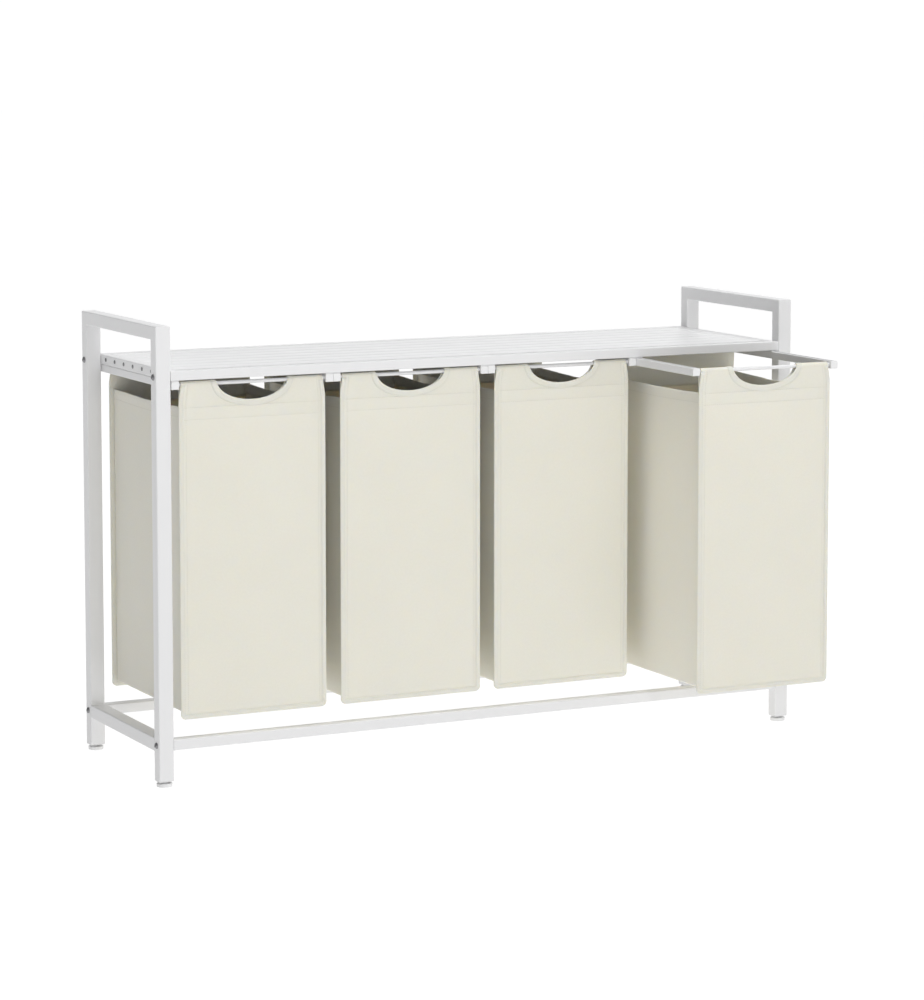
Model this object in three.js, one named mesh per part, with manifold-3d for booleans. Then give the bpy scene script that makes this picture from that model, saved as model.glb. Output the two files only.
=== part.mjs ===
// Four-bag laundry sorter: a steel tube stand with a slatted shelf on top
// and four fabric bags that pull out forwards on rails under the shelf.
// Millimetres, +Z up, +X to the right, -Y to the front.
import * as THREE from 'three';
import { mergeVertices } from 'three/addons/utils/BufferGeometryUtils.js';
import Module from 'manifold-3d';

const wasm = await Module();
wasm.setup();

// ---- driving dimensions ----
const bagCount = 4;
const frameWidth = 1160;      // over the outer faces of the legs
const frameDepth = 330;       // over the front and rear legs
const frameHeight = 730;      // floor to the top of the handle bars
const tubeWidth = 25;         // tube of the end frames, left to right
const tubeDepth = 22;         // and front to rear, or its height where it lies flat
const tubeWall = 0.8;
const slatWall = 0.6;
const tubeCorner = 2.5;       // outer corner radius of the tube
const fitGap = 0.3;           // gap left between pieces that meet
const bagPullOut = 187;       // how far the right-hand bag stands open
const footHeight = 9;         // floor to the lower end of the legs

const sideRailBottom = 55.5;    // lower bar of each end frame
const baseRailBottom = 58;    // long bars that join the end frames near the floor
const baseRailHeight = 17;

const shelfTop = 659;
const shelfThickness = 15;
const shelfTubeSize = 15;
const shelfTubeCorner = 1.5;
const slatCount = 7;
const slatWidth = 38;
const slatPitch = 40.5;
const slatCorner = 2;

const bagPitch = 277;         // centre to centre of the bags
const railOffset = 132;       // rail centre from the centre of its bag
const railWidth = 12.5;
const railBottom = 630;
const railTop = 642.5;
const railRear = 148;         // rear end of a closed rail, from the middle of the frame
const railBlock = 15;         // closed front end that holds the front rod
const railWall = 1.5;
const railFloor = 1.5;
const railEdge = 1;
const railLip = 1.5;
const railSlot = 4;

const trackPlateBottom = 642.8;
const trackPlateThickness = 1;
const trackPlateLength = 329;
const trackPlateMargin = 6.2;   // plate edge from the middle of a runner
const trackStem = 2.4;
const trackFootWidth = 8;
const trackFootHeight = 2.5;
const trackClearance = 0.4;

const rodRadius = 3;
const rodClearance = 0.3;
const rodHeight = 636.8;
const frontRodInset = 8;      // rod centre behind the front of the rail
const rearRodInset = 7;       // rod centre ahead of the rear of the rail
const frontRodGrip = 6;       // how far the rods reach into the rails
const rearRodGrip = 2;

const bagWidth = 250;         // over the sewn flanges
const bagNeckWidth = 243;     // between the rails
const bagNeckBottom = 624;
const bagBottom = 106;
const bagWall = 3;
const bagFlange = 8;          // seam flange outside the gusset
const bagCorner = 6;
const gussetTop = 599;
const sleeveRadius = 5.5;
const sleeveBore = 3.5;
const gripWidth = 128;        // finger cut-out in the front panel, half an ellipse
const gripDepth = 34;
const panelOverlap = 1;       // how far the panels cover the ends of the gusset

const boltHeadRadius = 5;
const boltHeadHeight = 2.6;
const boltShankRadius = 2.5;
const boltHoleRadius = 2.8;
const boltLength = 30;
const lowerBoltHeight = 66.5;
const upperBoltHeight = 650;
const endPlate = 2;

const footRadius = 12.5;
const footPadHeight = 6;
const footStudRadius = 4;
const footHoleRadius = 4.3;
const footStudTop = 34;
const legPlate = 3;

// ---- worked-out places ----
const halfWidth = frameWidth / 2;
const halfDepth = frameDepth / 2;
const innerX = halfWidth - tubeWidth;
const innerY = halfDepth - tubeDepth;
const legY = halfDepth - tubeDepth / 2;
const handleBottom = frameHeight - tubeDepth;
const shelfBottom = shelfTop - shelfThickness;
const sides = { left: -1, right: 1 };
const ends = { front: -1, rear: 1 };
const up = 700;               // any height above the bags, for cutters open to the top
const cutterReach = 20;       // how far a cutter runs past what it cuts
const weldDistance = 1e-4;

// ---- smoothness ----
const roundSegments = 14;
const cornerSegments = 2;
const arcSegments = 52;

// ---- materials ----
function paint(color, roughness, metalness) {
  return new THREE.MeshStandardMaterial({ color, roughness, metalness });
}

const whitePaint = () => paint(0xf1f1f2, 0.45, 0.1);
const whitePlastic = () => paint(0xf4f4f4, 0.5, 0);
const boltSteel = () => paint(0xb9bbbd, 0.35, 0.8);
const ivoryFabric = () => paint(0xe1dfd2, 0.95, 0);

// ---- solids ----
function toSolid(geometry) {
  const bare = geometry.clone();
  bare.deleteAttribute('normal');
  bare.deleteAttribute('uv');
  const merged = mergeVertices(bare, weldDistance);
  return new wasm.Manifold(new wasm.Mesh({
    numProp: 3,
    vertProperties: new Float32Array(merged.attributes.position.array),
    triVerts: new Uint32Array(merged.index.array),
  }));
}

function toGeometry(solid) {
  const mesh = solid.getMesh();
  const geometry = new THREE.BufferGeometry();
  geometry.setAttribute('position', new THREE.BufferAttribute(mesh.vertProperties, 3));
  geometry.setIndex(new THREE.BufferAttribute(mesh.triVerts, 1));
  geometry.computeVertexNormals();
  return geometry;
}

// Box between two limits on each axis.
function block(x, y, z) {
  const box = new THREE.BoxGeometry(x[1] - x[0], y[1] - y[0], z[1] - z[0]);
  box.translate((x[0] + x[1]) / 2, (y[0] + y[1]) / 2, (z[0] + z[1]) / 2);
  return toSolid(box);
}

// Round bar along one axis, from one place along it to another.
function roundBar(axis, radius, from, to, centre, segments = roundSegments) {
  const bar = new THREE.CylinderGeometry(radius, radius, to - from, segments);
  if (axis === 'x') bar.rotateZ(Math.PI / 2);
  if (axis === 'z') bar.rotateX(Math.PI / 2);
  const middle = new THREE.Vector3(...centre);
  middle[axis] = (from + to) / 2;
  bar.translate(middle.x, middle.y, middle.z);
  return toSolid(bar);
}

function roundedRectangle(width, height, radius) {
  const shape = new THREE.Shape();
  const x = width / 2 - radius;
  const y = height / 2 - radius;
  shape.absarc(x, y, radius, 0, Math.PI / 2);
  shape.absarc(-x, y, radius, Math.PI / 2, Math.PI);
  shape.absarc(-x, -y, radius, Math.PI, 1.5 * Math.PI);
  shape.absarc(x, -y, radius, 1.5 * Math.PI, 2 * Math.PI);
  shape.closePath();
  return shape;
}

// Bar with rounded edges along one axis, filling the box between the limits.
function roundedBar(axis, x, y, z, radius) {
  const size = { x: x[1] - x[0], y: y[1] - y[0], z: z[1] - z[0] };
  const section = {
    x: [size.z, size.y],
    y: [size.x, size.z],
    z: [size.x, size.y],
  }[axis];
  const outline = roundedRectangle(section[0], section[1], radius);
  const options = { depth: size[axis], bevelEnabled: false, curveSegments: cornerSegments };
  const bar = new THREE.ExtrudeGeometry(outline, options);
  bar.translate(0, 0, -size[axis] / 2);
  if (axis === 'x') bar.rotateY(Math.PI / 2);
  if (axis === 'y') bar.rotateX(-Math.PI / 2);
  bar.translate((x[0] + x[1]) / 2, (y[0] + y[1]) / 2, (z[0] + z[1]) / 2);
  return toSolid(bar);
}

const shrink = (range, by) => [range[0] + by, range[1] - by];
const span = (centre, size) => [centre - size / 2, centre + size / 2];
const sorted = (a, b) => [Math.min(a, b), Math.max(a, b)];

// Hollow tube along one axis; plate closes its ends to that thickness, and 0 leaves them open.
function hollowBar(axis, x, y, z, radius, plate = [0, 0], wall = tubeWall) {
  const outer = roundedBar(axis, x, y, z, radius);
  const limits = { x: shrink(x, wall), y: shrink(y, wall), z: shrink(z, wall) };
  const full = { x, y, z }[axis];
  const past = 1;
  limits[axis] = [
    plate[0] ? full[0] + plate[0] : full[0] - past,
    plate[1] ? full[1] - plate[1] : full[1] + past,
  ];
  const bore = roundedBar(axis, limits.x, limits.y, limits.z, radius - wall / 2);
  return outer.subtract(bore);
}

// ---- the object ----
const sorter = new THREE.Group();
const stand = new THREE.Group();
stand.position.y = bagPullOut / 2;   // centres the whole sorter, open bag included
sorter.add(stand);

function addPiece(parent, name, solid, material) {
  const mesh = new THREE.Mesh(toGeometry(solid), material);
  mesh.name = name;
  parent.add(mesh);
  return mesh;
}

function boltHoles(x, height) {
  return roundBar('x', boltHoleRadius, x[0], x[1], [0, 0, height]);
}

function addEndFrame(sideName, side) {
  const x = sorted(side * innerX, side * halfWidth);
  for (const [endName, end] of Object.entries(ends)) {
    const y = sorted(end * innerY, end * halfDepth);
    const z = [footHeight, handleBottom - fitGap];
    const studAxis = [side * (innerX + tubeWidth / 2), end * legY, 0];
    const studHole = roundBar('z', footHoleRadius, 0, 2 * footHeight, studAxis);
    const holeX = [x[0] - 1, x[1] + 1];
    let leg = hollowBar('z', x, y, z, tubeCorner, [legPlate, 0]).subtract(studHole);
    for (const height of [lowerBoltHeight, upperBoltHeight]) {
      leg = leg.subtract(boltHoles(holeX, height).translate([0, end * legY, 0]));
    }
    addPiece(stand, `leg_${endName}_${sideName}`, leg, whitePaint());
  }
  const handle = hollowBar('y', x, [-halfDepth, halfDepth], [handleBottom, frameHeight], tubeCorner);
  addPiece(stand, `handle_bar_${sideName}`, handle, whitePaint());
  const railZ = [sideRailBottom, sideRailBottom + tubeDepth];
  const sideRail = hollowBar('y', x, shrink([-innerY, innerY], fitGap), railZ, tubeCorner);
  addPiece(stand, `side_rail_${sideName}`, sideRail, whitePaint());
}

// A long bar between the end frames, with a bolt hole in the plate at each end.
function longBar(y, z, radius, holeY, holeHeight) {
  const x = shrink([-innerX, innerX], fitGap);
  const hole = boltHoles([-innerX - 1, innerX + 1], holeHeight).translate([0, holeY, 0]);
  return hollowBar('x', x, y, z, radius, [endPlate, endPlate]).subtract(hole);
}

function addBaseRails() {
  const z = [baseRailBottom, baseRailBottom + baseRailHeight];
  for (const [endName, end] of Object.entries(ends)) {
    const y = sorted(end * innerY, end * halfDepth);
    const rail = longBar(y, z, tubeCorner, end * legY, lowerBoltHeight);
    addPiece(stand, `base_rail_${endName}`, rail, whitePaint());
  }
}

function addShelf() {
  const z = [shelfBottom, shelfTop];
  const tubeInnerY = halfDepth - shelfTubeSize;
  for (const [endName, end] of Object.entries(ends)) {
    const y = sorted(end * tubeInnerY, end * halfDepth);
    const tube = longBar(y, z, shelfTubeCorner, end * legY, upperBoltHeight);
    addPiece(stand, `shelf_rail_${endName}`, tube, whitePaint());
  }
  const endInnerX = innerX - shelfTubeSize;
  for (const [sideName, side] of Object.entries(sides)) {
    const x = sorted(side * endInnerX, side * (innerX - fitGap));
    const tube = hollowBar('y', x, shrink([-tubeInnerY, tubeInnerY], fitGap), z, shelfTubeCorner);
    addPiece(stand, `shelf_end_${sideName}`, tube, whitePaint());
  }
  for (let i = 0; i < slatCount; i++) {
    const y = span((i - (slatCount - 1) / 2) * slatPitch, slatWidth);
    const x = shrink([-endInnerX, endInnerX], fitGap);
    const slat = hollowBar('x', x, y, z, slatCorner, [0, 0], slatWall);
    addPiece(stand, `shelf_slat_${i + 1}`, slat, whitePaint());
  }
}

// Fixed track under the shelf: a plate with a T-shaped runner for each rail beside it.
function trackSolid(runners) {
  const plateX = [Math.min(...runners) - trackPlateMargin, Math.max(...runners) + trackPlateMargin];
  const plateZ = [trackPlateBottom, trackPlateBottom + trackPlateThickness];
  const runnerY = [-halfDepth + railBlock + 1, railRear];
  const footTop = railTop - railLip - trackClearance;
  let track = block(plateX, span(0, trackPlateLength), plateZ);
  for (const x of runners) {
    const foot = block(span(x, trackFootWidth), runnerY, [footTop - trackFootHeight, footTop]);
    const stem = block(span(x, trackStem), runnerY, [footTop - 1, trackPlateBottom + 1]);
    track = track.add(foot).add(stem);
  }
  return track;
}

const bagCentre = (i) => (i - (bagCount - 1) / 2) * bagPitch;

function addTracks() {
  for (let i = 0; i <= bagCount; i++) {
    const runners = [];
    if (i > 0) runners.push(bagCentre(i - 1) + railOffset);
    if (i < bagCount) runners.push(bagCentre(i) - railOffset);
    const names = { 0: 'track_left_end', [bagCount]: 'track_right_end' };
    addPiece(stand, names[i] ?? `track_divider_${i}`, trackSolid(runners), whitePaint());
  }
}

// Rail of the right-hand side of a bag, with its slot up; side -1 mirrors it.
function railSolid(side) {
  const x = side * railOffset;
  const front = -halfDepth;
  const cavityY = [front + railBlock, railRear + 1];
  const cavityZ = [railBottom + railFloor, railTop - railLip];
  const cavity = block(span(x, railWidth - 2 * railWall), cavityY, cavityZ);
  const slot = block(span(x, railSlot), cavityY, [railTop - railLip - 1, railTop + 1]);
  const face = side * (railOffset - railWidth / 2);
  const rods = [
    { y: front + frontRodInset, grip: frontRodGrip },
    { y: railRear - rearRodInset, grip: rearRodGrip },
  ];
  let rail = roundedBar('y', span(x, railWidth), [front, railRear], [railBottom, railTop], railEdge);
  rail = rail.subtract(cavity).subtract(slot);
  for (const { y, grip } of rods) {
    const reach = sorted(face - side, face + side * grip);
    rail = rail.subtract(roundBar('x', rodRadius + rodClearance, reach[0], reach[1], [0, y, rodHeight]));
  }
  return rail;
}

function rodSolid(y, grip) {
  const half = railOffset - railWidth / 2 + grip - fitGap;
  return roundBar('x', rodRadius, -half, half, [0, y, rodHeight]);
}

// Flat panel outline of a bag, seen from the front: full width below, narrower between the rails.
function panelOutline() {
  const half = bagWidth / 2;
  const neck = bagNeckWidth / 2;
  const shape = new THREE.Shape();
  shape.moveTo(-neck, rodHeight);
  shape.lineTo(-neck, bagNeckBottom);
  shape.lineTo(-half, bagNeckBottom - (half - neck));
  shape.absarc(-half + bagCorner, bagBottom + bagCorner, bagCorner, Math.PI, 1.5 * Math.PI);
  shape.absarc(half - bagCorner, bagBottom + bagCorner, bagCorner, 1.5 * Math.PI, 2 * Math.PI);
  shape.lineTo(half, bagNeckBottom - (half - neck));
  shape.lineTo(neck, bagNeckBottom);
  shape.lineTo(neck, rodHeight);
  shape.closePath();
  return shape;
}

// Turns an outline drawn in X and Z into a plate whose faces look along Y.
function platePanel(outline, y) {
  const options = { depth: y[1] - y[0], bevelEnabled: false, curveSegments: 2 * cornerSegments };
  const panel = new THREE.ExtrudeGeometry(outline, options);
  panel.rotateX(Math.PI / 2);
  panel.translate(0, y[1], 0);
  return toSolid(panel);
}

function bagSolid(frontRodY, rearRodY) {
  const front = frontRodY - sleeveRadius;
  const rear = rearRodY + sleeveRadius;
  const inner = [front + bagWall, rear - bagWall];
  const gussetHalf = bagWidth / 2 - bagFlange;
  const floor = bagBottom + bagFlange;
  const gussetY = shrink([front, rear], panelOverlap);
  const gusset = block([-gussetHalf, gussetHalf], gussetY, [floor, gussetTop]);
  const hollow = block([bagWall - gussetHalf, gussetHalf - bagWall], inner, [floor + bagWall, up]);
  let bag = gusset.subtract(hollow);
  bag = bag.add(platePanel(panelOutline(), [front, inner[0]]));
  bag = bag.add(platePanel(panelOutline(), [inner[1], rear]));
  const neck = bagNeckWidth / 2;
  for (const y of [frontRodY, rearRodY]) {
    bag = bag.add(roundBar('x', sleeveRadius, -neck, neck, [0, y, rodHeight]));
  }
  for (const y of [frontRodY, rearRodY]) {
    const bore = roundBar('x', sleeveBore, -neck - cutterReach, neck + cutterReach, [0, y, rodHeight]);
    bag = bag.subtract(bore);
  }
  // The finger cut-out is half an ellipse that opens at the top edge.
  const reach = [frontRodY - cutterReach, frontRodY + cutterReach];
  const round = roundBar('y', gripWidth / 2, reach[0], reach[1], [0, 0, 0], arcSegments);
  const oval = round.scale([1, 1, (2 * gripDepth) / gripWidth]);
  const cutter = oval.translate([0, 0, rodHeight + sleeveRadius]);
  return bag.subtract(cutter);
}

function addBag(i) {
  const tray = new THREE.Group();
  tray.position.x = bagCentre(i);
  tray.position.y = i === bagCount - 1 ? -bagPullOut : 0;
  stand.add(tray);
  const number = i + 1;
  const frontRodY = frontRodInset - halfDepth;
  const rearRodY = railRear - rearRodInset;
  addPiece(tray, `bag_rail_${number}_left`, railSolid(-1), whitePaint());
  addPiece(tray, `bag_rail_${number}_right`, railSolid(1), whitePaint());
  addPiece(tray, `bag_rod_${number}_front`, rodSolid(frontRodY, frontRodGrip), whitePaint());
  addPiece(tray, `bag_rod_${number}_rear`, rodSolid(rearRodY, rearRodGrip), whitePaint());
  addPiece(tray, `laundry_bag_${number}`, bagSolid(frontRodY, rearRodY), ivoryFabric());
}

// Domed bolt through a leg into the end of a long bar, drawn along +Z with the head up.
function boltSolid() {
  const profile = [new THREE.Vector2(0, -boltLength), new THREE.Vector2(boltShankRadius, -boltLength)];
  profile.push(new THREE.Vector2(boltShankRadius, fitGap));
  const domeSteps = 3;
  for (let i = 0; i <= domeSteps; i++) {
    const turn = (i / domeSteps) * Math.PI / 2;
    const radius = i === domeSteps ? 0 : boltHeadRadius * Math.cos(turn);
    profile.push(new THREE.Vector2(radius, fitGap + boltHeadHeight * Math.sin(turn)));
  }
  const bolt = new THREE.LatheGeometry(profile, roundSegments);
  bolt.rotateX(Math.PI / 2);
  return toSolid(bolt);
}

function addBolts(sideName, side) {
  for (const [level, height] of Object.entries({ lower: lowerBoltHeight, upper: upperBoltHeight })) {
    for (const [endName, end] of Object.entries(ends)) {
      const bolt = addPiece(stand, `bolt_${level}_${endName}_${sideName}`, boltSolid(), boltSteel());
      bolt.rotation.y = side * Math.PI / 2;
      bolt.position.set(side * halfWidth, end * legY, height);
    }
  }
}

// Levelling foot: a round pad with a stud that screws into the plate at the end of the leg.
function footSolid() {
  const edge = 1.5;
  const profile = [
    [0, 0],
    [footRadius - edge, 0],
    [footRadius, edge],
    [footRadius, footPadHeight - edge],
    [footRadius - edge, footPadHeight],
    [footStudRadius, footPadHeight],
    [footStudRadius, footStudTop],
    [0, footStudTop],
  ].map(([radius, z]) => new THREE.Vector2(radius, z));
  const foot = new THREE.LatheGeometry(profile, 20);
  foot.rotateX(Math.PI / 2);
  return toSolid(foot);
}

function addFeet(sideName, side) {
  for (const [endName, end] of Object.entries(ends)) {
    const foot = addPiece(stand, `levelling_foot_${endName}_${sideName}`, footSolid(), whitePlastic());
    foot.position.set(side * (innerX + tubeWidth / 2), end * legY, 0);
  }
}

for (const [sideName, side] of Object.entries(sides)) {
  addEndFrame(sideName, side);
  addBolts(sideName, side);
  addFeet(sideName, side);
}
addBaseRails();
addShelf();
addTracks();
for (let i = 0; i < bagCount; i++) addBag(i);

export default sorter;
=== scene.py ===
import math

import bmesh
import bpy
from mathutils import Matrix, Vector, noise
from mathutils.bvhtree import BVHTree


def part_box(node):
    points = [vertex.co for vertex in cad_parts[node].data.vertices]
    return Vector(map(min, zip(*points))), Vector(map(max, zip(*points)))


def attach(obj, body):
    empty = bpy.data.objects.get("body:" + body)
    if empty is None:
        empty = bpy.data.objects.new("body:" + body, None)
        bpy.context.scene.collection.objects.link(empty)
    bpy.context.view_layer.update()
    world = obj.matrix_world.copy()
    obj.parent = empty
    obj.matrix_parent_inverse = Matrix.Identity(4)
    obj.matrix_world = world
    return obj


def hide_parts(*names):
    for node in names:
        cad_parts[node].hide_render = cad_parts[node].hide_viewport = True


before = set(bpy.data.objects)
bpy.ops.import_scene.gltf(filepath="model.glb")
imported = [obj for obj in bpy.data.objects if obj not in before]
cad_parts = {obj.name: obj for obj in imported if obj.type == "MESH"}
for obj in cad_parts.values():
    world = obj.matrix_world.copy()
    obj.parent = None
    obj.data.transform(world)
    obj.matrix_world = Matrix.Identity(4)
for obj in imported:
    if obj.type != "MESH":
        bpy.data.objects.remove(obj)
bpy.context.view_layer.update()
mm = 0.001
print("frame loaded,", len(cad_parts), "nodes")


# Camera and studio: a lit table with an even white sky behind it.

viewpoint = {
    "place": (-2.491, -4.957, 1.2045),
    "azimuth": 26.57,   # degrees to the right of straight ahead
    "lookDown": 6.09,
    "lens": 121.68,
    "shiftUp": -0.12,   # keeps the legs nearly upright
}

studio = {
    "floorRadius": 40.0,
    "floorColour": (0.14, 0.14, 0.14, 1),
    "floorGlow": 0.96,   # a lit table, so that shadows stay faint
    "skyColour": (0.985, 0.99, 1.0, 1),
    "skyStrength": 0.30,
    "horizonStrength": 1.05,
    "dimSide": 0.55,     # share of that light left on the side the camera stands
    "brightSide": (0.447, 0.894, 0.0),
    "lamps": {
        "softbox": {"place": (0.6, -1.2, 4.8), "aim": (0.0, 0.0, 0.4),
                    "size": (4.6, 3.2), "power": 172},
        "frontLight": {"place": (-0.8, -6.0, 1.3), "aim": (0.0, 0.0, 0.4),
                       "size": (3.6, 1.6), "power": 66},
        "backLight": {"place": (4.4, 4.6, 2.3), "aim": (0.0, 0.0, 0.5),
                      "size": (8.5, 2.0), "power": 54},
    },
}


def makeCamera(look):
    data = bpy.data.cameras.new("viewpoint")
    data.lens = look["lens"]
    data.shift_y = look["shiftUp"]
    data.clip_end = 200
    camera = bpy.data.objects.new("viewpoint", data)
    turn, dip = math.radians(look["azimuth"]), math.radians(look["lookDown"])
    forward = Vector((math.sin(turn) * math.cos(dip), math.cos(turn) * math.cos(dip), -math.sin(dip)))
    camera.location = look["place"]
    camera.rotation_mode = "QUATERNION"
    camera.rotation_quaternion = forward.to_track_quat("-Z", "Y")
    bpy.context.scene.collection.objects.link(camera)
    bpy.context.scene.camera = camera


def makeLamp(name, lamp):
    data = bpy.data.lights.new(name, "AREA")
    data.shape = "RECTANGLE"
    data.size, data.size_y = lamp["size"]
    data.energy = lamp["power"]
    light = bpy.data.objects.new(name, data)
    light.location = lamp["place"]
    light.rotation_euler = (Vector(lamp["aim"]) - light.location).to_track_quat("-Z", "Y").to_euler()
    bpy.context.scene.collection.objects.link(light)


def makeSky(sky):
    world = bpy.data.worlds.new("studio")
    bpy.context.scene.world = world
    world.use_nodes = True
    tree = world.node_tree
    background = tree.nodes["Background"]
    background.inputs["Color"].default_value = sky["skyColour"]
    direction = tree.nodes.new("ShaderNodeTexCoord")
    split = tree.nodes.new("ShaderNodeSeparateXYZ")
    ramp = tree.nodes.new("ShaderNodeMapRange")   # bright band at the horizon, dimmer above
    ramp.inputs["From Min"].default_value = 0.02
    ramp.inputs["From Max"].default_value = 0.20
    ramp.inputs["To Min"].default_value = sky["horizonStrength"]
    ramp.inputs["To Max"].default_value = sky["skyStrength"]
    tree.links.new(direction.outputs["Generated"], split.inputs[0])
    tree.links.new(split.outputs["Z"], ramp.inputs["Value"])
    facing = tree.nodes.new("ShaderNodeVectorMath")
    facing.operation = "DOT_PRODUCT"
    facing.inputs[1].default_value = sky["brightSide"]
    tree.links.new(direction.outputs["Generated"], facing.inputs[0])
    share = tree.nodes.new("ShaderNodeMapRange")
    share.inputs["From Min"].default_value = -0.3
    share.inputs["From Max"].default_value = 0.6
    share.inputs["To Min"].default_value = sky["dimSide"]
    tree.links.new(facing.outputs["Value"], share.inputs["Value"])
    strength = tree.nodes.new("ShaderNodeMath")
    strength.operation = "MULTIPLY"
    tree.links.new(ramp.outputs[0], strength.inputs[0])
    tree.links.new(share.outputs[0], strength.inputs[1])
    tree.links.new(strength.outputs[0], background.inputs["Strength"])


def makeFloor(look):
    mesh = bpy.data.meshes.new("floor")
    shape = bmesh.new()
    bmesh.ops.create_circle(shape, cap_ends=True, segments=96, radius=look["floorRadius"])
    shape.to_mesh(mesh)
    shape.free()
    floor = bpy.data.objects.new("floor", mesh)
    bpy.context.scene.collection.objects.link(floor)
    paint = bpy.data.materials.new("floor")
    paint.use_nodes = True
    surface = paint.node_tree.nodes["Principled BSDF"]
    surface.inputs["Base Color"].default_value = look["floorColour"]
    surface.inputs["Roughness"].default_value = 0.9
    surface.inputs["Specular IOR Level"].default_value = 0.1
    surface.inputs["Emission Color"].default_value = (1, 1, 1, 1)
    surface.inputs["Emission Strength"].default_value = look["floorGlow"]
    mesh.materials.append(paint)


makeCamera(viewpoint)
makeSky(studio)
makeFloor(studio)
for lampName, lamp in studio["lamps"].items():
    makeLamp(lampName, lamp)
bpy.context.scene.view_settings.view_transform = "Standard"
print("camera and studio ready")


# Materials, each one worked out at the real size of its grain.

def startMaterial(name):
    material = bpy.data.materials.new(name)
    material.use_nodes = True
    return material, material.node_tree, material.node_tree.nodes["Principled BSDF"]


def addNode(tree, kind, settings=None, **sockets):
    node = tree.nodes.new(kind)
    for key, value in (settings or {}).items():
        setattr(node, key, value)
    for key, value in sockets.items():
        socket = node.inputs[key.replace("_", " ")]
        if isinstance(value, bpy.types.NodeSocket):
            tree.links.new(value, socket)
        else:
            socket.default_value = value
    return node


def compute(tree, operation, *values):
    node = tree.nodes.new("ShaderNodeMath")
    node.operation = operation
    for socket, value in zip(node.inputs, values):
        if isinstance(value, bpy.types.NodeSocket):
            tree.links.new(value, socket)
        else:
            socket.default_value = value
    return node.outputs[0]


def tint(tree, amount, low, high):
    ramp = addNode(tree, "ShaderNodeMix", {"data_type": "RGBA"})
    tree.links.new(amount, ramp.inputs[0])
    ramp.inputs[6].default_value = (*low, 1)
    ramp.inputs[7].default_value = (*high, 1)
    return ramp.outputs[2]


# Powder coat: nearly even white with a fine orange-peel skin.
powderCoat = {
    "low": (0.785, 0.785, 0.790),
    "high": (0.825, 0.825, 0.828),
    "roughness": (0.34, 0.46),
    "peelScale": 620,
    "peelDepth": 0.05 * mm,
}


def makePowderCoat(name, look):
    material, tree, surface = startMaterial(name)
    place = addNode(tree, "ShaderNodeTexCoord").outputs["Object"]
    cloud = addNode(tree, "ShaderNodeTexNoise", Vector=place, Scale=9.0, Detail=3.0)
    peel = addNode(tree, "ShaderNodeTexNoise", Vector=place, Scale=look["peelScale"], Detail=2.0)
    tree.links.new(tint(tree, cloud.outputs[0], look["low"], look["high"]), surface.inputs["Base Color"])
    gloss = addNode(tree, "ShaderNodeMapRange", Value=peel.outputs[0])
    gloss.inputs["To Min"].default_value = look["roughness"][0]
    gloss.inputs["To Max"].default_value = look["roughness"][1]
    tree.links.new(gloss.outputs[0], surface.inputs["Roughness"])
    bump = addNode(tree, "ShaderNodeBump", Strength=0.35, Distance=look["peelDepth"],
                   Height=peel.outputs[0])
    tree.links.new(bump.outputs[0], surface.inputs["Normal"])
    surface.inputs["Specular IOR Level"].default_value = 0.35
    return material


# Moulded plastic: white, softer sheen, faint mould texture.
mouldedPlastic = {"low": (0.80, 0.80, 0.80), "high": (0.86, 0.86, 0.86), "roughness": 0.5, "grain": 1500}


def makePlastic(name, look):
    material, tree, surface = startMaterial(name)
    place = addNode(tree, "ShaderNodeTexCoord").outputs["Object"]
    grain = addNode(tree, "ShaderNodeTexNoise", Vector=place, Scale=look["grain"], Detail=3.0)
    tree.links.new(tint(tree, grain.outputs[0], look["low"], look["high"]), surface.inputs["Base Color"])
    bump = addNode(tree, "ShaderNodeBump", Strength=0.3, Distance=0.03 * mm, Height=grain.outputs[0])
    tree.links.new(bump.outputs[0], surface.inputs["Normal"])
    surface.inputs["Roughness"].default_value = look["roughness"]
    return material


# Zinc-plated steel with fine drawn lines.
zincPlate = {
    "low": (0.14, 0.14, 0.145),
    "high": (0.40, 0.40, 0.41),
    "roughness": (0.28, 0.46),
    "stretch": (60, 900, 900),   # lines run along x
}


def makeSteel(name, look):
    material, tree, surface = startMaterial(name)
    place = addNode(tree, "ShaderNodeTexCoord").outputs["Object"]
    drawn = addNode(tree, "ShaderNodeMapping", Vector=place, Scale=look["stretch"])
    lines = addNode(tree, "ShaderNodeTexNoise", Vector=drawn.outputs[0], Scale=1.0, Detail=4.0)
    tree.links.new(tint(tree, lines.outputs[0], look["low"], look["high"]), surface.inputs["Base Color"])
    gloss = addNode(tree, "ShaderNodeMapRange", Value=lines.outputs[0])
    gloss.inputs["To Min"].default_value = look["roughness"][0]
    gloss.inputs["To Max"].default_value = look["roughness"][1]
    tree.links.new(gloss.outputs[0], surface.inputs["Roughness"])
    surface.inputs["Metallic"].default_value = 1.0
    return material


# Coated Oxford cloth: plain weave laid out along each sheet's own flat cut.
oxford = {
    "pitch": 0.95 * mm,
    # dark end of the tint: painted shade in the weave's hollows, also reached by the darker random slubs
    # and clouds
    "hollow": (0.682, 0.659, 0.576),
    "thread": (0.856, 0.834, 0.744),
    "weaveDepth": 0.16 * mm,
    "slubScale": 260,
    "cloudScale": 6.5,
    "roughness": 0.86,
    "seeThrough": 0.6,
    "seeThroughDepth": 1.2 * mm,
}


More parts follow.
